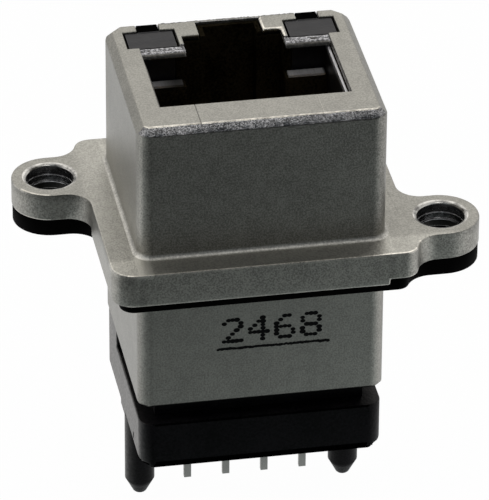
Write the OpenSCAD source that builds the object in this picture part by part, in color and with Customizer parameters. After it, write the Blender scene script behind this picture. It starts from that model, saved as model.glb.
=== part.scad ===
// Vertical shielded network jack: a die-cast shell with a panel flange, on a plastic base for a board.
// Millimetres. The origin lies on the board's face under the middle of the shell, +Z leaves the plug
// opening, and the latch side of the opening faces +Y.

/* [Shell] */
// Width of the tower and the lower block
body_w = 16.05; // [15.8:0.05:17]
// Depth of the tower and the lower block
body_d = 13.9; // [13.7:0.05:15]
// Radius of the upright corners
body_corner_r = 1; // [0.6:0.1:1.4]
// Height of the tower above the flange
tower_h = 9.3; // [8.5:0.1:11]
// Height of the lower block under the flange
block_h = 9.3; // [8.5:0.1:11]
// Bevel along the tower's top at the front and the sides
top_bevel = 0.5; // [0.2:0.05:0.6]
// Bevel along the tower's top at the rear
rear_bevel = 0.12; // [0.05:0.01:0.3]
// Bevel across the tower's top corners
corner_bevel = 0.45; // [0.3:0.05:0.6]
// Bevel round the lower block's bottom
block_bevel = 0.2; // [0.1:0.05:0.4]
// Fillet where the tower meets the flange
root_fillet = 0.3; // [0.15:0.05:0.5]
// Side walls
side_wall = 1.1; // [0.9:0.05:1.15]
// Front wall
front_wall = 1.1; // [0.9:0.05:1.15]
// Rear wall
rear_wall = 0.9; // [0.7:0.05:0.95]
// Roof over the insert
roof_t = 0.5; // [0.4:0.05:0.9]

/* [Flange] */
// Thickness of the flange and its ears
flange_t = 1.9; // [1.4:0.1:2.6]
// Overhang of the flange at the sides
flange_side = 1.87; // [1.7:0.05:2.4]
// Overhang of the flange at the front and the rear
flange_end = 1.95; // [1.7:0.05:2.4]
// Radius of the two plain corners
flange_corner_r = 1.5; // [1:0.1:1.8]
// Radius of the two corners beside the ears
ear_corner_r = 1.1; // [0.9:0.05:1.3]
// Radius of the hollows at the roots of the ears
ear_root_r = 1.5; // [1:0.1:1.7]
// Radius of the ears' ends
ear_r = 2.5; // [2.2:0.1:2.8]
// Distance of each screw hole outside the flange's side
ear_reach = 2.1; // [1.8:0.1:3]
// Distance of each screw hole from the middle, front to rear
ear_offset = 4.5; // [4.3:0.1:4.9]
// Diameter of the screw holes
screw_hole_d = 3.05; // [2.6:0.05:3.2]
// Bevel at both ends of the screw holes
screw_hole_bevel = 0.15; // [0.1:0.05:0.35]
// Depth of the lip that hangs round the gasket
lip_h = 0.45; // [0.2:0.05:0.7]
// Thickness of that lip
lip_t = 0.5; // [0.3:0.05:0.7]
// How far the lip stops short of the flange's side, beside an ear
lip_stop = 2; // [1.6:0.1:3]

/* [Plug opening] */
// Width of the opening for the plug
plug_w = 12.3; // [12.1:0.05:12.5]
// Depth of the opening, front to shoulder
plug_d = 6.94; // [6.8:0.02:7]
// Depth of the cavity below the top
plug_depth = 13; // [12:0.1:14]
// Width of the step behind the shoulders
step_w = 6.48; // [6.2:0.05:6.6]
// Depth of the step
step_d = 2.02; // [1.8:0.05:2.2]
// Width of the latch slot
latch_w = 4.16; // [3.6:0.05:4.4]
// Metal left behind the latch slot
latch_wall = 0.36; // [0.3:0.02:0.6]
// Depth of the latch slot below the top
latch_depth = 9; // [7:0.1:11]
// Metal left at the edge of the step, over its undercut
step_edge = 0.2; // [0.15:0.05:0.3]
// How far the insert's collar round the latch lies under the top
collar_drop = 0.15; // [0.1:0.05:0.4]
// Plastic round the latch, in the shell's keyway
latch_liner = 0.3; // [0.2:0.05:0.35]

/* [LEDs] */
// Width of an LED window
window_w = 3.4; // [3.2:0.05:3.5]
// Width of an LED body
led_w = 2.8; // [2.4:0.05:2.9]
// Depth of an LED body
led_d = 2.12; // [1.9:0.02:2.2]
// Height of an LED body
led_h = 6; // [5:0.1:8]
// How far the lens lies under the top
led_sink = 0.12; // [0.05:0.01:0.3]
// Room beside its head in the window
head_gap = 0.15; // [0.1:0.05:0.25]
// Depth of the bars between the windows and the plug's shoulders
bar_d = 0.93; // [0.8:0.01:1]
// How far those bars lie under the top
bar_drop = 0.12; // [0.05:0.01:0.3]
// Width of the lug behind each LED
lug_w = 1.38; // [1:0.02:1.8]
// Height of that lug
lug_h = 1.5; // [1:0.1:2.2]
// How far the lug lies under the top
lug_drop = 0.08; // [0.04:0.02:0.3]
// Side of an LED lead
lead_side = 0.5; // [0.4:0.02:0.6]
// Distance between the two leads of an LED
lead_pitch = 2; // [1.6:0.05:2.2]
// How far the walls in front of the LEDs end under the top
shoulder_sink = 2.6; // [2:0.1:3.5]

/* [Gasket] */
// Thickness of the gasket
gasket_t = 1.15; // [0.8:0.05:1.6]
// Step of the gasket inside the ears' ends
gasket_inset = 0.05; // [0:0.05:0.3]
// Room round a screw hole in the gasket
gasket_hole_gap = 0.25; // [0.2:0.05:0.5]

/* [Base] */
// Step of the base's sides inside the shell's sides
base_inset = 0.075; // [0:0.025:0.2]
// Radius of the base's upright corners
base_corner_r = 1.1; // [0.8:0.1:1.4]
// Height of the base at the front
base_h = 3.3; // [2.6:0.1:4.5]
// Gap between the base's front part and the lower block
neck_h = 1.3; // [0.9:0.1:2]
// Where the raised rear part begins, behind the middle
rear_from = 2.85; // [1.5:0.05:3.5]
// Bevel round the bottom of the base
base_bevel = 0.35; // [0.2:0.05:0.5]
// Height of the plug of the base inside the shell
boss_h = 2.7; // [2:0.1:4]
// Width of the nick in each side of the base
nick_w = 0.3; // [0.2:0.05:0.5]
// Height of those nicks
nick_h = 0.47; // [0.3:0.01:0.8]
// Depth of those nicks
nick_depth = 0.3; // [0.2:0.05:0.4]
// Distance of the nicks behind the front
nick_from_front = 2.92; // [2:0.02:5]

/* [Posts] */
// Diameter of a board post
post_d = 1.96; // [1.5:0.02:2]
// Length of a board post
post_len = 6.4; // [4:0.1:8]
// Length of its pointed end
post_point = 1.1; // [0.6:0.1:1.6]
// Diameter of its tip
post_tip_d = 0.82; // [0.6:0.02:1.2]
// Distance of each post from the side of the base
post_inset = 1.1; // [1.05:0.05:1.6]
// Distance of the posts behind the middle
post_y = 0.36; // [-1:0.02:1]
// Width of the flat left round each post in the base's bevel
post_flat = 0.4; // [0.2:0.05:0.6]

/* [Contacts] */
// Width of a contact strip
contact_w = 0.46; // [0.36:0.02:0.5]
// Thickness of a contact strip
contact_t = 0.3; // [0.22:0.02:0.34]
// Distance between neighbouring tails
tail_pitch = 1.27; // [1.2:0.01:1.3]
// Distance between neighbouring arms
arm_pitch = 1.016; // [0.96:0.004:1.04]
// Distance between the two rows of tails
row_gap = 2.54; // [2.2:0.02:3]
// Distance of the first row of tails behind the front
tail_row = 2.63; // [2.5:0.01:2.7]
// Length of the tails under the board face
tail_len = 2.56; // [2:0.02:4]
// Slope of a spring arm away from upright, in degrees
arm_tilt = 14; // [8:1:16]
// Length of a spring arm
arm_len = 9; // [7:0.1:9.5]
// Radius of the bend at the top of the arms
bend_r = 0.55; // [0.45:0.05:0.6]
// Room over that bend, under the roof
bend_room = 0.6; // [0.5:0.05:1]
// Depth of the grooves in the base's plug
groove_depth = 0.75; // [0.6:0.05:1]
// Height of the stretch where the strips draw together
fan_h = 2; // [1.6:0.1:2.4]
// Height of that stretch above the base's plug
fan_lift = 0.6; // [0.4:0.1:1]
// Plastic behind the strips
comb_back = 0.4; // [0.3:0.05:0.5]
// Height of the comb's foot above the cavity's floor
comb_lift = 0.6; // [0.3:0.1:1]
// Plastic over the comb's slots
comb_cover = 0.4; // [0.3:0.05:0.5]

/* [Shield springs] */
// Thickness of the sheet
spring_t = 0.15; // [0.1:0.01:0.2]
// How far the sheet's top lies under the shell's top
spring_sink = 0.6; // [0.2:0.05:1]
// How far the fingers reach in from the sheet
finger_rise = 0.4; // [0.2:0.05:0.5]
// Length of a finger
finger_len = 5; // [4:0.1:6]
// Width of a finger
finger_w = 1.2; // [0.8:0.1:1.6]
// Gap at each side of a finger
finger_gap = 0.15; // [0.1:0.01:0.2]
// Depth of the sheet's foot in the cavity's floor
spring_root = 1; // [0.6:0.1:2]
// Distance of the sheet behind the front of the opening
spring_inset = 0.3; // [0.2:0.05:0.6]
// Depth of the tab folded over the wall in front of an LED
tab_d = 0.7; // [0.5:0.05:0.8]
// Distance of the tab's end from the step in the opening
tab_short = 0.2; // [0.1:0.05:0.6]

/* [Clearances] */
// Between the shell and the pieces that slide into it
slide_gap = 0.1; // [0.05:0.01:0.15]
// Between a strip and its slot
slot_gap = 0.05; // [0.03:0.01:0.08]

/* [Hidden] */
$fn = 64;
CUT = 1;
CONTACTS = 8;
SIDES = [-1, 1];
FINGER_PLACES = [0.3, 0.7];

// Heights
block_bottom = base_h + neck_h;
boss_top = block_bottom + boss_h;
flange_bottom = block_bottom + block_h;
flange_top = flange_bottom + flange_t;
top = flange_top + tower_h;
roof_bottom = top - roof_t;
cavity_floor = top - plug_depth;
shoulder_top = top - shoulder_sink;

// The hollow under the roof, as the room between the walls
hollow_x = body_w / 2 - side_wall;
hollow_front = -body_d / 2 + front_wall;
hollow_rear = body_d / 2 - rear_wall;

// Flange
flange_x = body_w / 2 + flange_side;
flange_y = body_d / 2 + flange_end;
hole_x = flange_x + ear_reach;
hole_y = ear_offset;
lip_end_y = hole_y - ear_r - ear_root_r;

// Base
base_w = body_w - 2 * base_inset;
base_d = body_d;
post_x = base_w / 2 - post_inset;
nick_y = -base_d / 2 + nick_from_front;
nick_z = base_bevel + 0.5 * nick_h;

// LEDs stand in the rear corners of the hollow
led_x = hollow_x - window_w / 2;
led_rear = hollow_rear - slot_gap;
led_front = led_rear - led_d;
led_y = (led_front + led_rear) / 2;
led_top = top - led_sink;
led_bottom = led_top - led_h;
head_x = window_w / 2 - head_gap;
lug_top = top - lug_drop;

// Plug opening, in front of the LEDs
plug_rear = led_front - bar_d;
plug_front = plug_rear - plug_d;
step_rear = plug_rear + step_d;
latch_rear = body_d / 2 - latch_wall;
key_x = latch_w / 2 - slide_gap;
key_rear = latch_rear - slide_gap;
collar_top = top - collar_drop;

// Contacts: tails in two rows, arms in one comb
tail_front = -body_d / 2 + tail_row;
wall_run_y = hollow_front + slide_gap + comb_back + contact_t / 2;
groove_floor = boss_top - groove_depth;
fan_start = boss_top + fan_lift;
fan_end = fan_start + fan_h;
comb_floor = cavity_floor + comb_lift;
bend_y = wall_run_y + bend_r;
bend_z = roof_bottom - bend_r - contact_t / 2 - bend_room;
slot_w = contact_w + 2 * slot_gap;

// Shield springs
spring_out = plug_w / 2 - slot_gap;
spring_in = spring_out - spring_t;
spring_top = top - spring_sink;
spring_foot = cavity_floor - spring_root;
spring_front = plug_front + spring_inset;
spring_rear = plug_rear - slide_gap - slot_gap;
finger_mid = (cavity_floor + roof_bottom) / 2;
finger_r = (pow(finger_len / 2, 2) + pow(finger_rise, 2)) / (2 * finger_rise);
tab_front = plug_rear;
tab_rear = tab_front + tab_d;
tab_end = step_w / 2 + tab_short;

function tail_x(i) = (i - (CONTACTS + 1) / 2) * tail_pitch;
function arm_x(i) = (i - (CONTACTS + 1) / 2) * arm_pitch;
function tail_y(i) = tail_front + (i % 2 == 1 ? 0 : row_gap);
function lead_x(k) = (k <= 2 ? -led_x : led_x) + (k % 2 == 1 ? -0.5 : 0.5) * lead_pitch;

// Shared shapes

module rounded_rect(w, d, r) {
    square([w - 2 * r, d], center = true);
    square([w, d - 2 * r], center = true);
    for (x = SIDES, y = SIDES)
        translate([x * (w / 2 - r), y * (d / 2 - r)]) circle(r);
}

// A box between two corners
module span(low, high) {
    translate(low) cube(high - low);
}

// An outline in Y and Z, drawn out along X about x = 0
module along_x(width) {
    rotate([90, 0, 90]) translate([0, 0, -width / 2]) linear_extrude(width) children();
}

// An outline in X and Z, drawn out along Y about y = 0
module along_y(width) {
    rotate([90, 0, 0]) translate([0, 0, -width / 2]) linear_extrude(width) children();
}

// The side view of an upright block with bevelled ends, the top bevels given for each side
module bevelled_side(w, z0, z1, low, high_minus, high_plus) {
    h = w / 2;
    polygon([[-h + low, z0], [h - low, z0], [h, z0 + low], [h, z1 - high_plus],
             [h - high_plus, z1], [-h + high_minus, z1], [-h, z1 - high_minus], [-h, z0 + low]]);
}

// An upright block with round corners, bevelled all round its bottom, and at its top along the front
// and the sides, the rear and the corners
module bevelled_block(w, d, r, z0, z1, low, high, rear, corner) {
    across = 2 * r + sqrt(2) * (w / 2 + d / 2 - 2 * r);
    intersection() {
        translate([0, 0, z0]) linear_extrude(z1 - z0) rounded_rect(w, d, r);
        along_y(d + CUT) bevelled_side(w, z0, z1, low, high, high);
        along_x(w + CUT) bevelled_side(d, z0, z1, low, high, rear);
        rotate(45) along_y(w + d) bevelled_side(across, z0, z1, low, corner, corner);
        rotate(-45) along_y(w + d) bevelled_side(across, z0, z1, low, corner, corner);
    }
}

// Part of a flat ring between two angles
module ring_part(r, t, from, to) {
    steps = 4;
    reach = 3 * (r + t);
    intersection() {
        difference() {
            circle(r + t / 2);
            circle(r - t / 2);
        }
        polygon(concat([[0, 0]], [for (i = [0 : steps]) let (a = from + (to - from) * i / steps)
            [reach * cos(a), reach * sin(a)]]));
    }
}

// Fills the inner corner between two straight edges that leave the origin along +X and +Y
module corner_fill(r) {
    difference() {
        translate([-CUT / 2, -CUT / 2]) square(r + CUT / 2);
        translate([r, r]) circle(r);
    }
}

// Flange outline

// One quarter of the flange plate's rectangle, with its own corner radius
module flange_quarter(x, y, r, inset) {
    w = flange_x - inset;
    d = flange_y - inset;
    scale([x, y]) {
        square([w - r, d]);
        square([w, d - r]);
        translate([w - r, d - r]) circle(r);
    }
}

// One ear beside the +X, +Y corner of the flange: its round end, its two hollows and the land between them
module ear_outline(inset, end_r) {
    corner_r = ear_corner_r - inset / 2;
    corner_x = flange_x - inset - corner_r;
    corner_y = flange_y - inset - corner_r;
    hollow_r = ear_root_r + inset / 2;
    outer_y = hole_y + end_r;
    inner_y = hole_y - end_r;
    root = [flange_x - inset + hollow_r, inner_y - hollow_r];
    shoulder_y = outer_y + hollow_r;
    shoulder = [corner_x + sqrt(pow(corner_r + hollow_r, 2) - pow(shoulder_y - corner_y, 2)), shoulder_y];
    translate([hole_x, hole_y]) circle(end_r);
    difference() {
        polygon([[0, root.y], root, [root.x, inner_y], [hole_x, inner_y], [hole_x, outer_y],
                 [shoulder.x, outer_y], shoulder, [corner_x, corner_y], [0, corner_y]]);
        translate(root) circle(hollow_r);
        translate(shoulder) circle(hollow_r);
    }
}

module flange_outline(inset, end_r) {
    for (side = SIDES) {
        flange_quarter(side, side, flange_corner_r - inset, inset);
        flange_quarter(-side, side, ear_corner_r - inset / 2, inset);
    }
    for (turn = [0, 180])
        rotate(turn) mirror([1, 0]) ear_outline(inset, end_r);
}

module at_screw_holes() {
    for (turn = [0, 180])
        rotate(turn) translate([-hole_x, hole_y, 0]) children();
}

// Shell

module flange_lip() {
    inner_x = flange_x - lip_t;
    inner_y = flange_y - lip_t;
    translate([0, 0, flange_bottom - lip_h]) linear_extrude(lip_h + CUT / 2) difference() {
        for (side = SIDES) {
            flange_quarter(side, side, flange_corner_r, 0);
            flange_quarter(-side, side, ear_corner_r, 0);
        }
        rounded_rect(2 * inner_x, 2 * inner_y, ear_corner_r);
        for (turn = [0, 180])
            rotate(turn) translate([-flange_x - CUT, lip_end_y]) square([CUT + lip_t * 2, flange_y + CUT]);
        for (turn = [0, 180])
            rotate(turn) translate([-flange_x - CUT, flange_y - lip_t * 2])
                square([lip_stop + CUT, lip_t * 2 + CUT]);
    }
}

// Fillet round the foot of the tower, as four straight runs and four corners
module tower_fillet() {
    straight_x = body_w - 2 * body_corner_r;
    straight_y = body_d - 2 * body_corner_r;
    overlap = body_corner_r / 2;
    translate([0, 0, flange_top]) {
        for (side = SIDES) {
            translate([0, side * body_d / 2, 0]) scale([1, side, 1])
                along_x(straight_x) corner_fill(root_fillet);
            translate([side * body_w / 2, 0, 0]) scale([side, 1, 1])
                along_y(straight_y) corner_fill(root_fillet);
        }
        for (x = SIDES, y = SIDES)
            translate([x * straight_x / 2, y * straight_y / 2, 0])
                rotate_extrude() translate([body_corner_r, 0]) difference() {
                    translate([-overlap, -overlap])
                        square(overlap + root_fillet);
                    translate([root_fillet, root_fillet]) circle(root_fillet);
                }
    }
}

module plug_opening() {
    span([-plug_w / 2, plug_front, roof_bottom - CUT], [plug_w / 2, plug_rear, top + CUT]);
    span([-step_w / 2, plug_front, roof_bottom - CUT], [step_w / 2, step_rear, top + CUT]);
    span([-latch_w / 2, plug_front, block_bottom - CUT], [latch_w / 2, latch_rear, top + CUT]);
}

// Slopes the roof's underside away behind the step, so that its edge is thin
module step_undercut() {
    slope = roof_t - step_edge + CUT;
    along_x(step_w) polygon([[step_rear - CUT, roof_bottom - CUT], [step_rear + slope, roof_bottom - CUT],
                             [step_rear, top - step_edge], [step_rear - CUT, top - step_edge]]);
}

module led_windows() {
    for (side = SIDES)
        translate([side * led_x, 0, 0]) {
            span([-window_w / 2, led_front - slot_gap, roof_bottom - CUT],
                 [window_w / 2, hollow_rear, top + CUT]);
            span([-lug_w / 2 - slot_gap, hollow_rear - CUT, lug_top - lug_h - slot_gap],
                 [lug_w / 2 + slot_gap, body_d / 2 + CUT, top + CUT]);
        }
}

// The bars between the LED windows and the plug's shoulders: flat just under the roof, round in front
module window_bars() {
    bar_r = (bar_d - slot_gap) / 2;
    for (side = SIDES)
        translate([side * (step_w + plug_w) / 4, plug_rear + bar_r, 0])
            difference() {
                span([-(plug_w - step_w) / 4, -bar_r, top - bar_r - bar_drop],
                     [(plug_w - step_w) / 4, bar_r, top + CUT]);
                translate([0, 0, top - bar_r - bar_drop]) rotate([0, 90, 0])
                    cylinder(h = plug_w, r = bar_r, center = true);
                span([-plug_w, 0, roof_bottom - CUT], [plug_w, bar_d, top - bar_drop]);
            }
}

module screw_holes() {
    r = screw_hole_d / 2;
    b = screw_hole_bevel;
    at_screw_holes() {
        translate([0, 0, flange_bottom - CUT]) cylinder(h = flange_t + 2 * CUT, r = r);
        translate([0, 0, flange_top - b]) cylinder(h = b + CUT, r1 = r, r2 = r + b + CUT);
        translate([0, 0, flange_bottom - CUT]) cylinder(h = b + CUT, r1 = r + b + CUT, r2 = r);
    }
}

module housing() {
    color("silver") difference() {
        union() {
            bevelled_block(body_w, body_d, body_corner_r, block_bottom, top,
                           block_bevel, top_bevel, rear_bevel, corner_bevel);
            translate([0, 0, flange_bottom]) linear_extrude(flange_t) flange_outline(0, ear_r);
            flange_lip();
            tower_fillet();
        }
        span([-hollow_x, hollow_front, block_bottom - CUT], [hollow_x, hollow_rear, roof_bottom]);
        plug_opening();
        step_undercut();
        led_windows();
        window_bars();
        screw_holes();
    }
}

// Gasket

module gasket() {
    color("black") translate([0, 0, flange_bottom - gasket_t]) linear_extrude(gasket_t) difference() {
        flange_outline(lip_t + slot_gap, ear_r - gasket_inset);
        rounded_rect(body_w + 2 * slot_gap, body_d + 2 * slot_gap, body_corner_r + slot_gap);
        at_screw_holes() circle(screw_hole_d / 2 + gasket_hole_gap);
    }
}

// Insert

module contact_slots() {
    back = wall_run_y - contact_t / 2 - slot_gap;
    front = wall_run_y + contact_t / 2 + slot_gap;
    fan_x = tail_x(CONTACTS) + slot_w;
    span([-fan_x, back, boss_top - CUT], [fan_x, front, fan_end + slot_gap]);
    for (i = [1 : CONTACTS])
        translate([arm_x(i), 0, 0]) {
            span([-slot_w / 2, back, fan_end], [slot_w / 2, front, comb_floor + CUT]);
            span([-slot_w / 2, back, comb_floor], [slot_w / 2, plug_front + CUT, roof_bottom - comb_cover]);
        }
}

module led_pockets() {
    for (side = SIDES)
        translate([side * led_x, 0, 0])
            span([-led_w / 2 - slot_gap, led_front - slot_gap, led_bottom],
                 [led_w / 2 + slot_gap, hollow_rear + CUT, roof_bottom + CUT]);
    hole = lead_side / 2 + slot_gap;
    for (k = [1 : 4])
        translate([lead_x(k), led_y, 0])
            span([-hole, -hole, boss_top - CUT], [hole, hole, led_bottom + CUT]);
}

module spring_slots() {
    for (side = SIDES)
        scale([side, 1, 1])
            span([spring_in - slot_gap, spring_front - slot_gap, spring_foot],
                 [plug_w / 2, spring_rear + slot_gap, cavity_floor + CUT]);
}

module insert() {
    over = top + CUT;
    color("dimgray") difference() {
        union() {
            span([-hollow_x + slide_gap, hollow_front + slide_gap, boss_top],
                 [hollow_x - slide_gap, hollow_rear - slide_gap, roof_bottom]);
            span([-key_x, 0, boss_top], [key_x, key_rear, collar_top]);
        }
        span([-plug_w / 2, plug_front, cavity_floor], [plug_w / 2, plug_rear - slide_gap, over]);
        span([-plug_w / 2, plug_front, shoulder_top], [plug_w / 2, led_front, over]);
        span([-step_w / 2, plug_front, cavity_floor], [step_w / 2, step_rear, over]);
        span([-key_x + latch_liner, plug_front, top - latch_depth],
             [key_x - latch_liner, key_rear - latch_liner, over]);
        contact_slots();
        led_pockets();
        spring_slots();
    }
}

// Base

module board_post() {
    straight = post_len - post_point;
    translate([0, 0, -straight]) cylinder(h = straight + CUT, d = post_d);
    translate([0, 0, -post_len]) cylinder(h = post_point, d1 = post_tip_d, d2 = post_d);
}

// The flat round a post, out to the side of the base
module post_pad() {
    intersection() {
        linear_extrude(base_h) rounded_rect(base_w, base_d, base_corner_r);
        for (side = SIDES)
            translate([side * post_x, post_y, 0]) cylinder(h = base_h / 2, d = post_d + 2 * post_flat);
    }
}

module tail_holes() {
    y = contact_t / 2 + slot_gap;
    for (i = [1 : CONTACTS])
        translate([tail_x(i), 0, 0]) {
            span([-slot_w / 2, tail_y(i) - y, -CUT], [slot_w / 2, tail_y(i) + y, boss_top + CUT]);
            span([-slot_w / 2, wall_run_y - y, groove_floor], [slot_w / 2, tail_y(i) + y, boss_top + CUT]);
        }
    hole = lead_side / 2 + slot_gap;
    for (k = [1 : 4])
        translate([lead_x(k), led_y, 0]) span([-hole, -hole, -CUT], [hole, hole, boss_top + CUT]);
}

module base() {
    color("black") difference() {
        union() {
            bevelled_block(base_w, base_d, base_corner_r, 0, base_h, base_bevel, 0, 0, 0);
            intersection() {
                bevelled_block(base_w, base_d, base_corner_r, 0, block_bottom, base_bevel, 0, 0, 0);
                span([-base_w, rear_from, 0], [base_w, base_d, block_bottom]);
            }
            span([-hollow_x + slide_gap, hollow_front + slide_gap, base_h / 2],
                 [hollow_x - slide_gap, hollow_rear - slide_gap, boss_top]);
            for (side = SIDES)
                translate([side * post_x, post_y, 0]) board_post();
            post_pad();
        }
        tail_holes();
        for (side = SIDES)
            scale([side, 1, 1]) translate([base_w / 2 - nick_depth, nick_y, nick_z])
                span([0, -nick_w / 2, 0], [CUT, nick_w / 2, nick_h]);
    }
}

// Contacts

// Tail, run in the base's groove and upright to the fan, seen from the side
module contact_foot_side(tail) {
    h = contact_t / 2;
    translate([tail - h, -tail_len]) square([contact_t, tail_len + groove_floor]);
    translate([wall_run_y + h, groove_floor]) square([tail - wall_run_y - contact_t, contact_t]);
    translate([wall_run_y - h, groove_floor + contact_t])
        square([contact_t, fan_start - groove_floor - contact_t]);
    intersection() {
        translate([tail - h, groove_floor]) circle(contact_t);
        translate([tail - h, groove_floor]) square(contact_t);
    }
    intersection() {
        translate([wall_run_y + h, groove_floor + contact_t]) circle(contact_t);
        translate([wall_run_y - h, groove_floor]) square(contact_t);
    }
}

// Upright behind the comb, bend under the roof and spring arm, seen from the side
module contact_arm_side() {
    h = contact_t / 2;
    translate([wall_run_y - h, fan_end]) square([contact_t, bend_z - fan_end]);
    translate([bend_y, bend_z]) {
        ring_part(bend_r, contact_t, arm_tilt, 180);
        rotate(arm_tilt) translate([bend_r - h, -arm_len]) square([contact_t, arm_len]);
    }
}

module contact(i) {
    w = contact_w / 2;
    color("gold") {
        translate([tail_x(i), 0, 0]) along_x(contact_w) contact_foot_side(tail_y(i));
        translate([0, wall_run_y, 0]) along_y(contact_t)
            polygon([[tail_x(i) - w, fan_start], [tail_x(i) + w, fan_start],
                     [arm_x(i) + w, fan_end], [arm_x(i) - w, fan_end]]);
        translate([arm_x(i), 0, 0]) along_x(contact_w) contact_arm_side();
    }
}

// LEDs

module led(side) {
    color("darkslategray") translate([side * led_x, 0, 0]) {
        span([-led_w / 2, led_front, led_bottom], [led_w / 2, led_rear, led_top]);
        span([-head_x, led_front, roof_bottom + slot_gap], [head_x, led_rear, led_top]);
        span([-lug_w / 2, led_rear - slot_gap, lug_top - lug_h], [lug_w / 2, body_d / 2, lug_top]);
    }
}

module led_lead(k) {
    h = lead_side / 2;
    color("lightgray") translate([lead_x(k), led_y, 0]) span([-h, -h, -tail_len], [h, h, led_bottom]);
}

// Shield springs

// The right-hand spring: a sheet beside the plug with two fingers that bow in, and a tab over the
// LED's wall
module ground_spring() {
    length = spring_rear - spring_front;
    bow_x = spring_in - finger_rise + finger_r + spring_t / 2;
    color("silver") {
        difference() {
            span([spring_in, spring_front, spring_foot], [spring_out, spring_rear, spring_top]);
            for (place = FINGER_PLACES)
                translate([0, spring_front + place * length, finger_mid])
                    span([spring_in - CUT, -finger_w / 2 - finger_gap, -finger_len / 2 + spring_t],
                         [spring_out + CUT, finger_w / 2 + finger_gap, finger_len / 2 - spring_t]);
        }
        for (place = FINGER_PLACES)
            translate([bow_x, spring_front + place * length, finger_mid])
                along_y(finger_w) difference() {
                    circle(finger_r);
                    circle(finger_r - spring_t);
                    translate([-finger_r + finger_rise + spring_t / 2, -finger_r * 2]) square(finger_r * 4);
                }
        span([spring_in, spring_rear, shoulder_top], [spring_out, tab_rear, roof_bottom - slot_gap]);
        span([tab_end, tab_front, shoulder_top], [spring_in, tab_rear, shoulder_top + spring_t]);
    }
}

housing();
gasket();
insert();
base();
for (i = [1 : CONTACTS])
    contact(i);
led(-1);  // led_left
led(1);  // led_right
for (k = [1 : 4])
    led_lead(k);
mirror([1, 0, 0]) ground_spring();  // ground_spring_left
ground_spring();  // ground_spring_right
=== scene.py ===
import math

import bmesh
import bpy
from mathutils import Matrix, Vector, noise


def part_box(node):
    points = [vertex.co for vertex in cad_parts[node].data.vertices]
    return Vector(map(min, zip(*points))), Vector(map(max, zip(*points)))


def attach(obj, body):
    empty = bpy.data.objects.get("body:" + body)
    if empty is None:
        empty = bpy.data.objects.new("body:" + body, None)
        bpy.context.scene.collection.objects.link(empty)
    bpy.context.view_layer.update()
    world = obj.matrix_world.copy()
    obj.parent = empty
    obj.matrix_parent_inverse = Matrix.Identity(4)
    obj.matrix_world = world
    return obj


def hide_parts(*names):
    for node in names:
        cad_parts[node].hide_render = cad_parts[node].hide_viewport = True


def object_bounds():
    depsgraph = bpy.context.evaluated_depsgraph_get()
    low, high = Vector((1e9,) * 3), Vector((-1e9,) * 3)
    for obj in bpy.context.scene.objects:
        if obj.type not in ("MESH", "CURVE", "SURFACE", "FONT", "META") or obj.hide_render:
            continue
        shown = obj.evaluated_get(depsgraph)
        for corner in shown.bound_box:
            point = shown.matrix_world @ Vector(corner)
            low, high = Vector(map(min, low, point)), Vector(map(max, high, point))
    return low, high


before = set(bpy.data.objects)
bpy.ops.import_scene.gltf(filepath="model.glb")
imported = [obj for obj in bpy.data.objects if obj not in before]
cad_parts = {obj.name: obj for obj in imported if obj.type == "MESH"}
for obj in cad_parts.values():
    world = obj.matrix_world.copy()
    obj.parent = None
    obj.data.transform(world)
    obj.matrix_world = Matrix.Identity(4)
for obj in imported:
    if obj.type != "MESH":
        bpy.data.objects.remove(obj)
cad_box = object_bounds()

# Base: the black moulded foot with its two board posts, pushed up into the shell from below.
# It is glass-filled plastic with a fine spark-eroded grain, and its left side is rubbed to a sheen.
# The mould rounds its outer edges, and its bottom's bevel is drawn out to a small rounding at the front.

MM = 0.001


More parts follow.
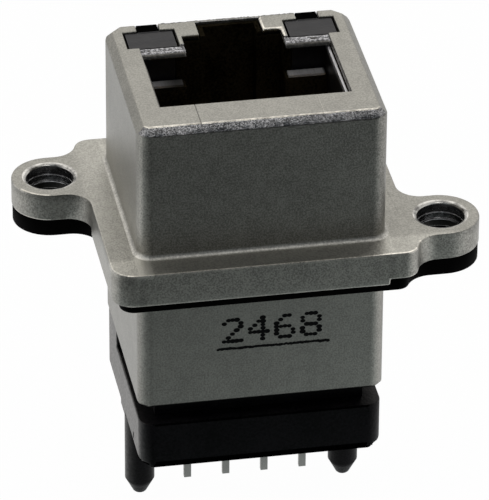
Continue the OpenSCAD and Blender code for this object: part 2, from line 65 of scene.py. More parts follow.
class Signal:
    """One output of a node. Arithmetic on it adds Math nodes."""

    def __init__(self, socket):
        self.socket = socket

    def node(self, kind, settings=None, inputs=None, output=0):
        """Adds any other node: its type, its settings, and the values or links of its sockets."""
        tree = self.socket.id_data
        node = tree.nodes.new(kind)
        for key, value in (settings or {}).items():
            setattr(node, key, value)
        for key, value in (inputs or {}).items():
            if isinstance(value, Signal):
                tree.links.new(value.socket, node.inputs[key])
            else:
                node.inputs[key].default_value = value
        return Signal(node.outputs[output])

    def math(self, operation, first, second):
        return self.node("ShaderNodeMath", {"operation": operation}, {0: first, 1: second})

    def __add__(self, other):
        return self.math("ADD", self, other)

    def __sub__(self, other):
        return self.math("SUBTRACT", self, other)

    def __rsub__(self, other):
        return self.math("SUBTRACT", other, self)

    def __mul__(self, other):
        return self.math("MULTIPLY", self, other)

    __radd__ = __add__
    __rmul__ = __mul__

    def __neg__(self):
        return 0 - self

    def or_more(self, other):
        """The larger of this signal and another."""
        return self.math("MAXIMUM", self, other)

    def size(self):
        """This signal without its sign."""
        return self.math("ABSOLUTE", self, 0)

    def axis(self, name):
        """One coordinate of a vector: X, Y or Z."""
        return self.node("ShaderNodeSeparateXYZ", {}, {"Vector": self}, output=name)

    def stretched(self, x, y, z):
        """These coordinates with each axis scaled, for a pattern that runs one way."""
        return self.node("ShaderNodeMapping", {}, {"Vector": self, "Scale": (x, y, z)})

    def grain(self, size, detail=2, roughness=0.5):
        """Soft noise from 0 to 1 with blotches of about this size in metres, on these coordinates."""
        inputs = {"Vector": self, "Scale": 1 / size, "Detail": detail, "Roughness": roughness}
        return self.node("ShaderNodeTexNoise", {"noise_dimensions": "3D"}, inputs)

    def between(self, low, high):
        """This signal from 0 to 1 as it goes from low to high."""
        return self.node("ShaderNodeMapRange", {"interpolation_type": "SMOOTHSTEP"},
                         {"Value": self, "From Min": low, "From Max": high})

    def within(self, rise, full, fade, gone):
        """1 where this signal lies from full to fade, and 0 before rise and after gone."""
        return self.between(rise, full) * (1 - self.between(fade, gone))

    def blend(self, first, second):
        """A colour between two, by this signal. Each of the two is a signal or three numbers."""
        inputs = {0: self}
        for socket, colour in ((6, first), (7, second)):
            inputs[socket] = colour if isinstance(colour, Signal) else (*colour, 1)
        return self.node("ShaderNodeMix", {"data_type": "RGBA"}, inputs, output=2)

    def bump(self, height):
        """A normal for a relief of this height in metres."""
        return self.node("ShaderNodeBump", {}, {"Height": self, "Distance": height, "Strength": 1})


def finish(name, **constants):
    """A new material: its shader with the constant inputs set, and the object coordinates as a signal."""
    material = bpy.data.materials.new(name)
    material.use_nodes = True
    shader = material.node_tree.nodes["Principled BSDF"]
    for key, value in constants.items():
        shader.inputs[key.replace("_", " ")].default_value = value
    coordinates = Signal(material.node_tree.nodes.new("ShaderNodeTexCoord").outputs["Object"])
    return material, shader, coordinates


def feed(shader, **signals):
    """Links signals to the shader's inputs by name."""
    for key, signal in signals.items():
        shader.id_data.links.new(signal.socket, shader.inputs[key.replace("_", " ")])


def flat_copy(node):
    """A copy of a CAD node's mesh, with its corners merged and its flat faces joined."""
    form = bmesh.new()
    form.from_mesh(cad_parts[node].data)
    bmesh.ops.remove_doubles(form, verts=form.verts, dist=0.02 * MM)
    bmesh.ops.dissolve_limit(form, angle_limit=math.radians(0.3), verts=form.verts, edges=form.edges)
    return form


def settle(piece):
    """Turns a piece's modifiers into plain mesh."""
    depsgraph = bpy.context.evaluated_depsgraph_get()
    mesh = bpy.data.meshes.new_from_object(piece.evaluated_get(depsgraph), preserve_all_data_layers=True,
                                           depsgraph=depsgraph)
    piece.modifiers.clear()
    piece.data = mesh


def round_edges(form, name, radius_at, materials):
    """Turns a form into an object with its sharp edges rounded, each to the radius that radius_at gives.
    The rounding takes the last material."""
    sharp = math.radians(30)
    weight = form.edges.layers.float.new("bevel_weight_edge")
    radii = {}
    for edge in form.edges:
        if len(edge.link_faces) == 2 and edge.calc_face_angle(0) > sharp:
            radii[edge] = radius_at((edge.verts[0].co + edge.verts[1].co) / 2)
    widest = max(radii.values())
    for edge, radius in radii.items():
        edge[weight] = radius / widest
    mesh = bpy.data.meshes.new(name)
    form.to_mesh(mesh)
    form.free()
    for material in materials:
        mesh.materials.append(material)
    piece = bpy.data.objects.new(name, mesh)
    bpy.context.scene.collection.objects.link(piece)
    bevel = piece.modifiers.new("rounding", "BEVEL")
    bevel.limit_method = "WEIGHT"
    bevel.width = widest
    bevel.segments = 2
    bevel.use_clamp_overlap = False
    bevel.material = len(materials) - 1
    settle(piece)
    return piece


def smooth(piece):
    """Shades a piece smooth between its sharp edges, with its broad faces kept flat."""
    piece.data.shade_smooth()
    piece.data.set_sharp_from_angle(angle=math.radians(32))
    weighted = piece.modifiers.new("weighted", "WEIGHTED_NORMAL")
    weighted.keep_sharp = True
    settle(piece)


def moulded_plastic(name, tone, roughness, gloss):
    """Black plastic with a fine eroded grain and a little cloudiness in its sheen."""
    material, shader, place = finish(name, Specular_IOR_Level=gloss)
    cloud = place.grain(2.2 * MM, detail=3)
    pitting = place.grain(0.16 * MM, roughness=0.6)
    dark = [0.3 * part for part in tone]
    light = [1.7 * part for part in tone]
    feed(shader, Base_Color=(cloud * 0.4 + pitting * 0.6).between(0.36, 0.64).blend(dark, light),
         Roughness=roughness - 0.1 + 0.1 * cloud + 0.1 * pitting,
         Normal=pitting.bump(0.018 * MM))
    return material, shader, place


base_plastic, base_shader, place = moulded_plastic("base_plastic", (0.0105, 0.0098, 0.0118), 0.38, 0.1)
base_shader.inputs["Coat Roughness"].default_value = 0.32
base_shader.inputs["Coat Tint"].default_value = (1, 0.96, 0.9, 1)
patches = place.grain(0.2 * MM, detail=3, roughness=0.65).between(0.35, 0.65)
left_side = (-place.axis("X")).between(7.1 * MM, 7.9 * MM)
feed(base_shader, Coat_Weight=(0.3 + 0.3 * patches) * left_side)
base_edge = moulded_plastic("base_edge", (0.004, 0.004, 0.0045), 0.5, 0)[0]
base_finishes = [base_plastic, base_edge]
bottom_rounding, outer_rounding, fine_rounding = 0.13 * MM, 0.1 * MM, 0.02 * MM
nick_y = -4.03 * MM


def base_radius(point):
    """Widest at the front's bottom, wide on outer edges and posts, and fine on nicks, holes and plug."""
    front_bottom = point.y < -5 * MM and -0.1 * MM < point.z < 0.6 * MM
    outer = abs(point.x) > 7.2 * MM or abs(point.y) > 6.2 * MM
    post = point.z < -0.5 * MM
    nick = abs(point.x) > 7.5 * MM and abs(point.y - nick_y) < 0.3 * MM and 0.5 * MM < point.z < 1.1 * MM
    if front_bottom:
        return bottom_rounding
    return outer_rounding if (outer or post) and not nick else fine_rounding


form = flat_copy("base")
bottom_edge_y = -6.92 * MM
for vert in form.verts:
    if abs(vert.co.z) < 0.01 * MM and vert.co.y < -6.5 * MM:
        vert.co.y = bottom_edge_y
base = round_edges(form, "moulded_base", base_radius, base_finishes)
# Faces turned down at the bottom take the darker edge finish without sheen: painted shade under the base
for face in base.data.polygons:
    if face.normal.z < -0.2 and -0.1 * MM < face.center.z < 0.5 * MM:
        face.material_index = base_finishes.index(base_edge)
    elif abs(face.normal.x) > 0.1 and abs(face.center.x) > 7 * MM:
        face.material_index = base_finishes.index(base_plastic)
smooth(base)
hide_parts("base")
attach(base, "root")

# Contacts: eight stamped strips of copper alloy, each from its board tail to its spring arm.
# They are tinned at the tails and gold-plated where they touch the plug, and are pressed into the base.
# The stamping leaves fine lines along the strip.

tin, tin_shader, place = finish("tinned_tail", Metallic=0.8)
tin_cloud = place.grain(0.9 * MM, detail=3)
tin_lines = place.stretched(9, 9, 0.6).grain(0.6 * MM)
tin_tone = (tin_cloud * 0.6 + tin_lines * 0.4).blend((0.36, 0.35, 0.335), (0.68, 0.66, 0.63))
gold_part = place.axis("Z").between(12 * MM, 13 * MM)
feed(tin_shader, Base_Color=gold_part.blend(tin_tone, (0.75, 0.52, 0.2)),
     Roughness=0.34 + 0.2 * tin_lines,
     Normal=tin_lines.bump(0.004 * MM))


def dress(node, material):
    """Gives a CAD node that keeps its own shape a finish."""
    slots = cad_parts[node].data.materials
    slots.clear()
    slots.append(material)


for number in range(1, 9):
    dress(f"contact_{number}", tin)

# Insert: the black plastic lining of the plug's cavity, with the contacts' comb and the LEDs' pockets.
# It is moulded in one piece, and slides up into the shell ahead of the base.
# Only its upper walls are seen, through the opening.

insert_plastic = moulded_plastic("insert_plastic", (0.022, 0.018, 0.011), 0.6, 0)[0]
dress("insert", insert_plastic)

# Shield springs: two stamped sheets of thin bright steel beside the plug, with bowed fingers and a fold.
# Their feet stand in slots of the insert, and their upper edges show beside the opening.
# They are painted near-black as shade, with their folds painted light, the left fold fading towards the
# middle, and the right sheet has a painted highlight along its top.

sheet, sheet_shader, place = finish("spring_sheet")
sideways = place.axis("X")
rolled = place.stretched(6, 0.5, 6).grain(0.5 * MM)
folded = 1 - sideways.size().between(5.7 * MM, 5.9 * MM)
# Painted light: the left fold fades towards the middle, and the right sheet's top is a painted highlight
painted_light_fade = 1 - 0.85 * sideways.within(-5.4 * MM, -3.8 * MM, -1 * MM, 1 * MM)
painted_top_highlight = place.axis("Z").between(24 * MM, 24.4 * MM) * sideways.between(-1 * MM, 1 * MM)
sheet_painted_light = (folded * painted_light_fade).or_more(painted_top_highlight) * (0.6 + 0.4 * rolled)
# The sheets are painted near-black as shade, and lighter where this painted light falls
feed(sheet_shader, Base_Color=sheet_painted_light.blend((0.02, 0.018, 0.016), (0.92, 0.92, 0.96)),
     Metallic=0.6 - 0.6 * folded,
     Roughness=0.3 + 0.15 * rolled,
     Normal=rolled.bump(0.003 * MM))
for side in ("left", "right"):
    dress(f"ground_spring_{side}", sheet)

# LEDs: two blocks of smoked resin with a flat lens under the roof's windows and a lug behind.
# Each stands on its two tinned leads in a pocket of the insert. Neither is lit.

lens, lens_shader, place = finish("smoked_lens", Specular_IOR_Level=0.2)
haze = place.grain(1.1 * MM, detail=3)
feed(lens_shader, Base_Color=haze.blend((0.01, 0.01, 0.014), (0.022, 0.022, 0.03)),
     Roughness=0.3 + 0.2 * haze,
     Normal=(haze + 0.1 * place.grain(0.18 * MM)).bump(0.05 * MM))


def clouded_resin(name, gloss, dark, light, roughness, patchiness):
    """The resin beside the flat of the lens, clouded in its tone and its sheen."""
    material, shader, place = finish(name, Specular_IOR_Level=gloss)
    feed(shader, Base_Color=place.grain(0.4 * MM).blend(dark, light),
         Roughness=roughness + patchiness * place.grain(0.5 * MM))
    return material


# The lug behind the lens is painted near-black as shade
lug = clouded_resin("smoked_lug_painted_shade", 0, (0.002, 0.002, 0.002), (0.006, 0.006, 0.006), 0.5, 0.2)
lens_edge = clouded_resin("smoked_lens_edge", 0.3, (0.02, 0.021, 0.026), (0.04, 0.042, 0.05), 0.25, 0.15)
led_finishes = [lens, lug, lens_edge]
led_rounding = 0.04 * MM
lug_depth = 0.85 * MM
for side in ("left", "right"):
    led = round_edges(flat_copy(f"led_{side}"), f"smoked_led_{side}",
                      lambda point: led_rounding, led_finishes)
    smooth(led)
    lug_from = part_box(f"led_{side}")[1][1] - lug_depth
    for face in led.data.polygons:
        if face.center.y > lug_from:
            face.material_index = led_finishes.index(lug)
    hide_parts(f"led_{side}")
    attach(led, "root")
for number in range(1, 5):
    dress(f"led_lead_{number}", tin)

# Shell: the die-cast zinc housing with tower, eared flange, hanging lip and lower block, all one casting.
# It is blasted and plated with matte nickel, which gives a fine grey grain and smoother edges, brighter
# partly from the plating and partly as a painted highlight.
# The screw holes are countersunk by a tool, and trimmed edges at the top keep a coarse, torn skin.


def nickel(name, tone, spread, roughness, grain_size, relief, low_gain=0.38, front_specks=0.0):
    """Matte nickel over a casting: blotched, with a fine grain that takes the light in specks.
    Below the flange's top it is lighter by the low gain, as painted light, or darker as painted shade where
    that is negative.
    Its upright front faces have specks that are stronger by the front specks.
    It has painted light at the foot of the tower's sides, on the tower's front-left corner, and on the
    flange's left part."""
    material, shader, place = finish(name, Metallic=0.88, Specular_IOR_Level=0.3)
    blotch = place.grain(2.6 * MM, detail=3)
    grit = place.grain(grain_size, detail=3, roughness=0.65)
    stain = place.grain(0.7 * MM)
    mottle = (blotch * 0.11 + grit * 0.75 + stain * 0.14).between(0.38, 0.62)
    x, y, z = (place.axis(axis) for axis in "XYZ")
    # Painted light: below the flange's top by the low gain (painted shade where it is negative), and at the
    # foot of the tower's sides
    at_side = x.size().within(7.6 * MM, 7.95 * MM, 8.1 * MM, 8.35 * MM)
    side_foot = at_side * z.within(15.4 * MM, 15.8 * MM, 16 * MM, 21 * MM)
    front_foot = 1 - y.between(-7.4 * MM, -6.4 * MM)
    low_down = 1 - (z - 1.1 * MM * front_foot).between(15 * MM, 15.7 * MM)
    low_down = low_down * (1 - 0.7 * at_side)
    facing = place.node("ShaderNodeNewGeometry", output="Normal").axis("Y")
    upright_front = (-facing).between(0.3, 0.8) * z.between(13 * MM, 14 * MM)
    specks = spread * (1 + front_specks * upright_front)
    # Painted light on the tower's front-left corner and on the flange's left part
    corner = (-x).between(7.15 * MM, 7.55 * MM) * (-y).between(6.35 * MM, 6.7 * MM)
    strip = (-x).within(8.1 * MM, 8.4 * MM, 9.6 * MM, 10.4 * MM)
    painted_corner_light = z.between(15.4 * MM, 15.75 * MM) * (0.7 * corner * (1 - strip) + 0.26 * strip)
    lightness = (1 - specks + 2 * specks * mottle) * (1 + low_gain * low_down)
    lightness = lightness * (1 + 0.4 * side_foot) * (1 + painted_corner_light)
    feed(shader, Base_Color=(0.5 * lightness).blend((0, 0, 0), [2 * part for part in tone]),
         Roughness=roughness - 0.08 + 0.16 * grit,
         Normal=grit.bump(relief))
    return material


# The root finish is lighter as a painted highlight along the tower's foot, the sunk finish's large blotches
# are painted glints, and the last, on the roundings, is brighter partly from smoother plating and partly as a
# painted highlight
# The second finish, bright, is a painted glint on the front's top edges and the slot's burr, and the third,
# dark, is painted shade
shell_finishes = [
    nickel("nickel_plate", (0.278, 0.273, 0.252), 0.2, 0.42, 0.12 * MM, 0.022 * MM, front_specks=0.6),
    nickel("nickel_painted_glint", (0.5, 0.48, 0.44), 0.32, 0.22, 0.5 * MM, 0.008 * MM),
    nickel("nickel_painted_shade", (0.1, 0.096, 0.09), 0.3, 0.36, 0.2 * MM, 0.006 * MM, low_gain=-0.8),
    nickel("nickel_torn", (0.19, 0.19, 0.198), 0.75, 0.24, 0.1 * MM, 0.02 * MM),
    nickel("nickel_drawn", (0.19, 0.19, 0.196), 0.4, 0.25, 0.3 * MM, 0.004 * MM),
    nickel("nickel_scored", (0.23, 0.23, 0.243), 0.72, 0.2, 0.16 * MM, 0.012 * MM),
    nickel("nickel_sunk", (0.33, 0.325, 0.315), 0.62, 0.2, 1.0 * MM, 0.012 * MM),
    nickel("nickel_root", (0.34, 0.334, 0.315), 0.25, 0.5, 0.14 * MM, 0.01 * MM),
    nickel("nickel_edge", (0.43, 0.415, 0.38), 0.2, 0.3, 0.16 * MM, 0.01 * MM),
]
PLATE, PAINTED_GLINT, PAINTED_SHADE, TORN, DRAWN, SCORED, SUNK, ROOT, EDGE = range(len(shell_finishes))
shell_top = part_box("housing")[1][2]
flange_top, flange_bottom = 15.8 * MM, 13.9 * MM
front_limit = -6.3 * MM
opening_front = -3.9 * MM
hole_radius = 1.525 * MM
hole_middles = [Vector(middle) * MM for middle in ((-11.995, 4.5), (11.995, -4.5))]
countersink_rounding, bore_rounding, burr_rounding = 0.12 * MM, 0.02 * MM, 0.15 * MM
flange_rounding, rim_rounding, inner_rounding = 0.13 * MM, 0.07 * MM, 0.03 * MM
rightwards, rearwards, upwards = Vector((1, 0, 0)), Vector((0, 1, 0)), Vector((0, 0, 1))


def from_hole(point):
    """How far a point lies from the nearer screw hole's axis."""
    return min((point.xy - middle).length for middle in hole_middles)


def on_slot_edge(point):
    """Whether a point lies by the stepped right-hand edge of the latch slot, where trimming left a burr."""
    at_top = point.z > shell_top - 0.3 * MM
    return at_top and 1.9 * MM < point.x < 3.42 * MM and 3.9 * MM < point.y < 6.5 * MM


def shell_radius(point):
    """Wide on flange, ears, burr and countersinks, finer on the tower's top, finest in openings."""
    if from_hole(point) < 2 * MM:
        return countersink_rounding if from_hole(point) > hole_radius + 0.05 * MM else bore_rounding
    if on_slot_edge(point):
        return burr_rounding
    if abs(point.x) > 8.3 * MM or abs(point.y) > 7.3 * MM:
        return flange_rounding
    return rim_rounding if point.z > shell_top - 1.3 * MM else inner_rounding


def cut(form, faces, point, direction):
    """Cuts faces along a plane."""
    parts = dict.fromkeys(faces)
    for face in faces:
        parts.update(dict.fromkeys(face.edges))
        parts.update(dict.fromkeys(face.verts))
    bmesh.ops.bisect_plane(form, geom=list(parts), dist=1e-8, plane_co=point, plane_no=direction)


def dice(form, index, direction, step):
    """Cuts the faces of one material across a direction, into strips of about this width."""
    faces = [face for face in form.faces if face.material_index == index]
    levels = [direction.dot(vert.co) for face in faces for vert in face.verts]
    lowest, reach = min(levels), max(levels) - min(levels)
    count = round(reach / step)
    for number in range(1, count):
        faces = [face for face in form.faces if face.material_index == index]
        cut(form, faces, direction * (lowest + reach * number / count), direction)


shell = round_edges(flat_copy("housing"), "cast_shell", shell_radius, shell_finishes)
form = bmesh.new()
form.from_mesh(shell.data)

# The rim shows where inserts of the mould met, as a fine groove at the left and a fainter one at the right
seam_x = 3.93 * MM
rim_skin = shell_top - 0.1 * MM
for side, depth in ((-1, 0.06 * MM), (1, 0.03 * MM)):
    for offset in (-depth / 2, 0, depth / 2):
        rim = [face for face in form.faces
               if face.calc_center_median().z > rim_skin and face.normal.z > 0.3
               and min(vert.co.y for vert in face.verts) < opening_front]
        cut(form, rim, rightwards * (side * seam_x + offset), rightwards)
    for vert in form.verts:
        on_rim = vert.co.z > rim_skin and -6.6 * MM < vert.co.y < opening_front
        if on_rim and abs(vert.co.x - side * seam_x) < 0.001 * MM:
            vert.co.z -= depth

# The hanging lip draws in a little towards its bottom
lip_draw = 0.05 * MM
front_faces = [face for face in form.faces
               if face.normal.y < -0.9 and face.calc_center_median().y < -8.7 * MM]
cut(form, front_faces, upwards * flange_bottom, upwards)
for vert in form.verts:
    if vert.co.z < flange_bottom - 0.2 * MM and vert.co.y < -8.6 * MM:
        vert.co.y += lip_draw

# Finishes by place: torn edges at the top, scored bars, painted glints on the slot's burr and the front's top
# edges, painted shade under the front and in the seam's left groove, and a painted highlight along the
# tower's root and in the seam's right groove
edge_tilt = 0.82
for face in form.faces:
    middle = face.calc_center_median()
    tilt = face.normal.z
    at_front = middle.y < front_limit
    at_corner = middle.y < -5.8 * MM and abs(middle.x) > 7 * MM
    near_top = middle.z > shell_top - 0.62 * MM
    front_bevel = at_front and near_top and 0.45 < tilt < edge_tilt and face.normal.y < -0.15
    front_edge = (at_front or at_corner) and near_top and edge_tilt < tilt < 0.99
    latch_rim = middle.y > 6.5 * MM and abs(middle.x) < 2.1 * MM and middle.z > shell_top - 0.2 * MM
    bar = 2.9 * MM < middle.y < 3.9 * MM and 3.2 * MM < abs(middle.x) < 6.2 * MM and near_top
    by_seam = abs(abs(middle.x) - seam_x) < 0.06 * MM and near_top and middle.y < opening_front
    under_front = at_front and tilt < -0.2 and middle.z < 6 * MM
    at_root = (flange_top < middle.z < flange_top + 0.33 * MM and 0.08 < tilt < 0.98
               and abs(middle.x) < 8.4 * MM and abs(middle.y) < 7.3 * MM)
    # Edges beyond the right ear's inner corner and on the left ear's inner half keep the plain plate, without
    # the roundings' painted highlight
    dull_edge = middle.x > 10.1 * MM or -12.2 * MM < middle.x < -9 * MM
    if (front_bevel or latch_rim) and abs(tilt) > 0.1:
        face.material_index = TORN
    elif on_slot_edge(middle) and 0.1 < tilt < 0.99:
        face.material_index = PAINTED_GLINT
    elif under_front:
        face.material_index = PAINTED_SHADE
    elif at_root:
        face.material_index = ROOT
    elif bar and abs(tilt) > 0.1:
        face.material_index = SCORED
    elif by_seam and tilt < 0.9:
        face.material_index = PAINTED_SHADE if middle.x < 0 else EDGE
    elif front_edge:
        face.material_index = PAINTED_GLINT
    elif near_top or face.normal.y > -0.2 or dull_edge:
        face.material_index = PLATE

# The torn strip along the front is painted with a ragged dark border of shade above and below
for direction in (rightwards, (upwards - rearwards).normalized()):
    dice(form, TORN, direction, 0.09 * MM)
for face in form.faces:
    middle = face.calc_center_median()
    if face.material_index == TORN and middle.y < front_limit:
        ragged = noise.noise(middle / (0.45 * MM)) * 0.05 * MM
        below = shell_top - middle.z
        if below < 0.09 * MM + ragged or below > 0.44 * MM + ragged:
            face.material_index = PAINTED_SHADE

# The torn skin is rough, and each bar has a groove along it that wanders a little; the groove and the bars'
# front faces are painted dark as shade
torn_relief, border_relief, bar_relief = 0.04 * MM, 0.025 * MM, 0.015 * MM
groove_y, groove_half, groove_depth = 3.5 * MM, 0.06 * MM, 0.12 * MM
dice(form, SCORED, rightwards, 0.12 * MM)
dice(form, SCORED, rearwards, 0.05 * MM)
form.normal_update()
for vert in form.verts:
    indices = {face.material_index for face in vert.link_faces}
    tear = noise.noise(vert.co / (0.13 * MM)) + 0.6 * noise.noise(vert.co / (0.31 * MM) + Vector((7, 3, 1)))
    if TORN in indices:
        vert.co += vert.normal * tear * (torn_relief if indices == {TORN} else border_relief)
    elif indices == {SCORED}:
        groove = math.exp(-((vert.co.y - groove_y - 0.03 * MM * tear) / groove_half) ** 2)
        vert.co += vert.normal * (bar_relief * tear - groove_depth * groove)
for face in form.faces:
    middle = face.calc_center_median()
    wander = noise.noise(middle / (0.4 * MM)) * 0.06 * MM
    in_groove = abs(middle.y - groove_y - wander) < groove_half
    if face.material_index == SCORED and (in_groove or face.normal.y < -0.6):
        face.material_index = PAINTED_SHADE

# Each screw hole has a turned countersink, blotched in large patches as painted glints, and two ridges of the
# drill in a bore that is painted near-black as shade below them
bore_step = 14.58 * MM
wall_tilt = 0.25
walls = [face for face in form.faces
         if from_hole(face.calc_center_median()) < 1.6 * MM and abs(face.normal.z) < wall_tilt]
cut(form, walls, upwards * bore_step, upwards)
form.normal_update()
for face in form.faces:
    middle = face.calc_center_median()
    if from_hole(middle) < 1.95 * MM and abs(face.normal.z) < 0.99:
        if abs(face.normal.z) > wall_tilt:
            face.material_index = SUNK
        else:
            face.material_index = PAINTED_SHADE if middle.z < bore_step else DRAWN


def add_ridge(form, middle, height, thickness):
    """Adds a ring of round section on the wall of the bore with this middle."""
    turns, sides = 64, 8
    rows = []
    for turn in range(turns):
        out = Vector((math.cos(math.tau * turn / turns), math.sin(math.tau * turn / turns), 0))
        centre = Vector((middle.x, middle.y, height)) + out * hole_radius
        angles = [math.tau * side / sides for side in range(sides)]
        offsets = [thickness * (out * math.cos(angle) + upwards * math.sin(angle)) for angle in angles]
        rows.append([form.verts.new(centre + offset) for offset in offsets])
    for turn in range(turns):
        before, after = rows[turn - 1], rows[turn]
        for side in range(sides):
            face = form.faces.new((before[side - 1], after[side - 1], after[side], before[side]))
            face.material_index = DRAWN


for middle in hole_middles:
    add_ridge(form, middle, 15.05 * MM, 0.04 * MM)
    add_ridge(form, middle, bore_step, 0.08 * MM)
form.to_mesh(shell.data)
form.free()
smooth(shell)
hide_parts("housing")
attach(shell, "root")

# Print: a plain number and its underline on the front of the lower block, in black ink.
# A coding jet puts it on as rows of small flat dots that run into each other.

ink, ink_shader, place = finish("coding_ink", Specular_IOR_Level=0.1)
soak = place.grain(0.15 * MM, detail=3)
feed(ink_shader, Base_Color=soak.blend((0.008, 0.008, 0.009), (0.026, 0.026, 0.027)),
     Roughness=0.55 + 0.25 * soak)
digit_rows = {"2": (".###.", "#...#", "....#", "...#.", "..#..", ".#...", "#####"),
              "4": ("...#.", "..##.", ".#.#.", "#..#.", "#####", "...#.", "...#."),
              "6": ("..##.", ".#...", "#....", "####.", "#...#", "#...#", ".###."),
              "8": (".###.", "#...#", "#...#", ".###.", "#...#", "#...#", ".###.")}
print_left, print_top = -2.5 * MM, 10.73 * MM
digit_pitch, dot_across, dot_down, dot_thickness = 1.7 * MM, 0.27 * MM, 0.262 * MM, 0.02 * MM
block_front = -6.95 * MM
digit_dots = [(print_left + order * digit_pitch + column * dot_across,
               block_front,
               print_top - row * dot_down)
              for order, digit in enumerate("2468")
              for row, line in enumerate(digit_rows[digit])
              for column, mark in enumerate(line) if mark == "#"]
line_left, line_right, line_z, line_step = -2.9 * MM, 4.28 * MM, 8.6 * MM, 0.13 * MM
line_dots = [(line_left + line_step * number, block_front, line_z)
             for number in range(round((line_right - line_left) / line_step) + 1)]


def jet_dots():
    """A tree that sets a flat dot on each point, with a little scatter in place and size."""
    size_names = ("Dot width", "Dot height", "Dot thickness", "Scatter")
    tree = bpy.data.node_groups.new("jet_dots", "GeometryNodeTree")
    tree.interface.new_socket("Points", in_out="INPUT", socket_type="NodeSocketGeometry")
    for name in size_names:
        tree.interface.new_socket(name, in_out="INPUT", socket_type="NodeSocketFloat")
    tree.interface.new_socket("Dots", in_out="OUTPUT", socket_type="NodeSocketGeometry")
    given = tree.nodes.new("NodeGroupInput").outputs
    start = Signal(given["Points"])
    width, height, thickness, scatter = (Signal(given[name]) for name in size_names)
    points = start.node("GeometryNodeMeshToPoints", {}, {"Mesh": start})
    reach = start.node("ShaderNodeCombineXYZ", {}, {"X": scatter, "Z": scatter})
    back = start.node("ShaderNodeVectorMath", {"operation": "SCALE"}, {"Vector": reach, "Scale": -1.0})
    shift = start.node("FunctionNodeRandomValue", {"data_type": "FLOAT_VECTOR"},
                       {"Min": back, "Max": reach, "Seed": 3})
    strewn = start.node("GeometryNodeSetPosition", {}, {"Geometry": points, "Offset": shift})
    disc = start.node("GeometryNodeMeshCylinder", {}, {"Vertices": 12, "Radius": 0.5, "Depth": 1.0})
    size = start.node("ShaderNodeCombineXYZ", {}, {"X": width, "Y": height, "Z": thickness})
    dot = start.node("GeometryNodeTransform", {}, {"Geometry": disc, "Scale": size})
    dot = start.node("GeometryNodeTransform", {}, {"Geometry": dot, "Rotation": (math.radians(90), 0, 0)})
    swell = start.node("FunctionNodeRandomValue", {"data_type": "FLOAT"},
                       {2: 0.82, 3: 1.12, "Seed": 8}, output=1)
    dots = start.node("GeometryNodeInstanceOnPoints", {}, {"Points": strewn, "Instance": dot, "Scale": swell})
    solid = start.node("GeometryNodeRealizeInstances", {}, {"Geometry": dots})
    inked = start.node("GeometryNodeSetMaterial", {}, {"Geometry": solid, "Material": ink})
    tree.links.new(inked.socket, tree.nodes.new("NodeGroupOutput").inputs["Dots"])
    return tree


dot_tree = jet_dots()
for name, dots, width, height, scatter in (("printed_number", digit_dots, 0.38 * MM, 0.29 * MM, 0.015 * MM),
                                           ("printed_line", line_dots, 0.26 * MM, 0.2 * MM, 0.03 * MM)):
    points = bpy.data.meshes.new(name)
    points.from_pydata(dots, [], [])
    mark = bpy.data.objects.new(name, points)
    bpy.context.scene.collection.objects.link(mark)
    jet = mark.modifiers.new("jet", "NODES")
    jet.node_group = dot_tree
    sizes = {"Dot width": width, "Dot height": height, "Dot thickness": dot_thickness, "Scatter": scatter}
    for socket in dot_tree.interface.items_tree:
        if socket.name in sizes:
            jet[socket.identifier] = sizes[socket.name]
    settle(mark)
    smooth(mark)
    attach(mark, "root")

# Gasket: the die-cut ring of black rubber between the flange and the panel.
# It lies under the flange inside the lip, and its cut edge shows below.

rubber, rubber_shader, place = finish("gasket_rubber", Specular_IOR_Level=0.03)
bloom = place.grain(0.5 * MM, detail=3)
feed(rubber_shader, Base_Color=bloom.blend((0.002, 0.002, 0.002), (0.006, 0.006, 0.006)),
     Roughness=0.6 + 0.2 * bloom,
     Normal=place.grain(0.12 * MM, detail=3).bump(0.01 * MM))
gasket_rounding = 0.07 * MM
gasket = round_edges(flat_copy("gasket"), "die_cut_gasket", lambda point: gasket_rounding, [rubber])
smooth(gasket)
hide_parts("gasket")
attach(gasket, "root")

# Floor: a plain pale sheet under the board posts. It shows as white and keeps a faint shadow.
# In the metal it is white behind the jack, and dim on the near side, where the studio is dark.

floor_half = 1500 * MM
floor_z = cad_box[0][2]
floor_corners = [(x * floor_half, y * floor_half, floor_z) for x, y in ((-1, -1), (1, -1), (1, 1), (-1, 1))]
floor_mesh = bpy.data.meshes.new("floor")
floor_mesh.from_pydata(floor_corners, [], [(0, 1, 2, 3)])
floor = bpy.data.objects.new("floor", floor_mesh)
bpy.context.scene.collection.objects.link(floor)
paper, paper_shader, place = finish("pale_paper", Base_Color=(0.33, 0.35, 0.36, 1), Roughness=0.9,
                                    Specular_IOR_Level=0)
rays = place.node("ShaderNodeLightPath").socket.node.outputs
seen = Signal(rays["Is Camera Ray"]).or_more(Signal(rays["Is Transmission Ray"]))
in_metal = Signal(rays["Is Glossy Ray"])
aside = place.axis("X")
ahead = place.axis("Y") + (aside - 14 * MM).or_more(0) + 0.1 * (-12 * MM - aside).or_more(0)
opened = ahead.between(-22 * MM, 8 * MM)
near_side = (0.06 + 0.2 * ahead.between(-60 * MM, -14 * MM)) * (0.44 + 0.9 * aside.between(-30 * MM, 40 * MM))
mirrored = near_side + (1 - near_side) * opened
shown = (seen * 0.91).or_more(in_metal * mirrored * 0.86)
tint = (in_metal * (1 - opened)).blend((1, 1, 1), (0.85, 0.97, 0.97))
white = place.node("ShaderNodeEmission", {}, {"Color": tint, "Strength": 1.08})
paper_mix = place.node("ShaderNodeMixShader", {}, {0: shown, 1: Signal(paper_shader.outputs[0]), 2: white})
paper.node_tree.links.new(paper_mix.socket, paper.node_tree.nodes["Material Output"].inputs["Surface"])
floor_mesh.materials.append(paper)

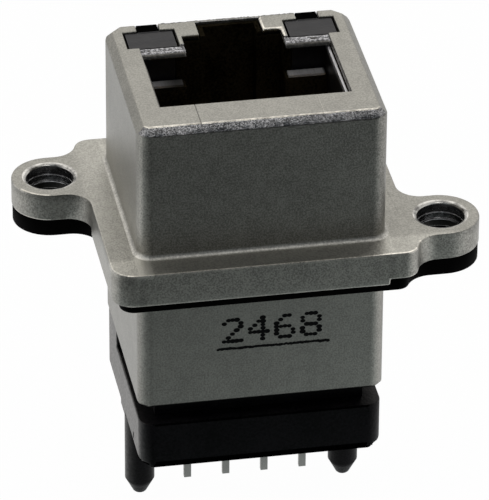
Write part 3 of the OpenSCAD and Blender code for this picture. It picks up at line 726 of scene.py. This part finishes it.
# Light: a soft studio tent that is open towards the camera.
# A broad lamp stands above and behind, a weak one at each side, and a small one hangs above the front.
# The world is white where it is seen or mirrored from behind, and dim where the tent is open.


def softbox(name, place, width, height, radiance):
    """A rectangular lamp at a place in mm, turned to the jack. A radiance of 1 looks as white as paper."""
    lamp = bpy.data.lights.new(name, "AREA")
    lamp.shape = "RECTANGLE"
    lamp.size = width * MM
    lamp.size_y = height * MM
    lamp.energy = radiance * math.pi * lamp.size * lamp.size_y
    lamp.color = (1, 0.97, 0.92)
    stand = bpy.data.objects.new(name, lamp)
    place, aim = Vector(place) * MM, Vector((0, 0, 10)) * MM
    stand.location = place
    stand.rotation_euler = (aim - place).to_track_quat("-Z", "Y").to_euler()
    stand.visible_camera = False
    bpy.context.scene.collection.objects.link(stand)


softbox("back_lamp", (10, 260, 330), 520, 380, 0.85)
softbox("left_lamp", (-340, 60, 110), 300, 300, 0.25)
softbox("right_lamp", (340, 60, 110), 300, 300, 0.25)
softbox("top_lamp", (30, -130, 380), 120, 120, 2.5)

world = bpy.data.worlds.new("studio")
bpy.context.scene.world = world
world.use_nodes = True
sky = world.node_tree.nodes["Background"]
towards = Signal(world.node_tree.nodes.new("ShaderNodeTexCoord").outputs["Generated"])
rays = towards.node("ShaderNodeLightPath").socket.node.outputs
seen = Signal(rays["Is Camera Ray"]).or_more(Signal(rays["Is Transmission Ray"]))
aside = towards.axis("X")
behind = (towards.axis("Y") + 0.9 * aside.or_more(0) + 0.3 * (-aside).or_more(0)).between(-0.45, 0.2)
risen = towards.axis("Z").between(-0.05, 0.4)
mirrored = 0.15 + 0.745 * behind * (0.6 + 0.4 * risen)
weak_fill = 0.05
strength = seen.or_more(Signal(rays["Is Glossy Ray"]) * mirrored).or_more(weak_fill)
sky_colour = behind.blend((0.86, 0.95, 1), (1, 0.985, 0.95))
world.node_tree.links.new(strength.socket, sky.inputs["Strength"])
world.node_tree.links.new(sky_colour.socket, sky.inputs["Color"])

# Camera: at the photograph's angle, from the front and a little from the left.
# It has a long lens, so that upright edges stay nearly parallel.

azimuth = math.radians(-10.426)
elevation = math.radians(30.893)
roll = math.radians(0.3615)
target = Vector((0.0695, 0.0550, 11.6158)) * MM
distance = 350.086 * MM
focal_pixels = 5394.54
image_width = 489
back = Vector((math.sin(azimuth) * math.cos(elevation),
               -math.cos(azimuth) * math.cos(elevation),
               math.sin(elevation)))
level_right = Vector((math.cos(azimuth), math.sin(azimuth), 0))
level_up = back.cross(level_right)
right = math.cos(roll) * level_right + math.sin(roll) * level_up
up = back.cross(right)
long_lens = bpy.data.cameras.new("camera")
long_lens.sensor_fit = "HORIZONTAL"
long_lens.sensor_width = 36
long_lens.lens = focal_pixels * long_lens.sensor_width / image_width
long_lens.clip_start = 10 * MM
camera = bpy.data.objects.new("camera", long_lens)
turned_to_target = Matrix((right, up, back)).transposed().to_4x4()
camera.matrix_world = Matrix.Translation(target + back * distance) @ turned_to_target
bpy.context.scene.collection.objects.link(camera)
bpy.context.scene.camera = camera
bpy.context.scene.view_settings.view_transform = "Standard"
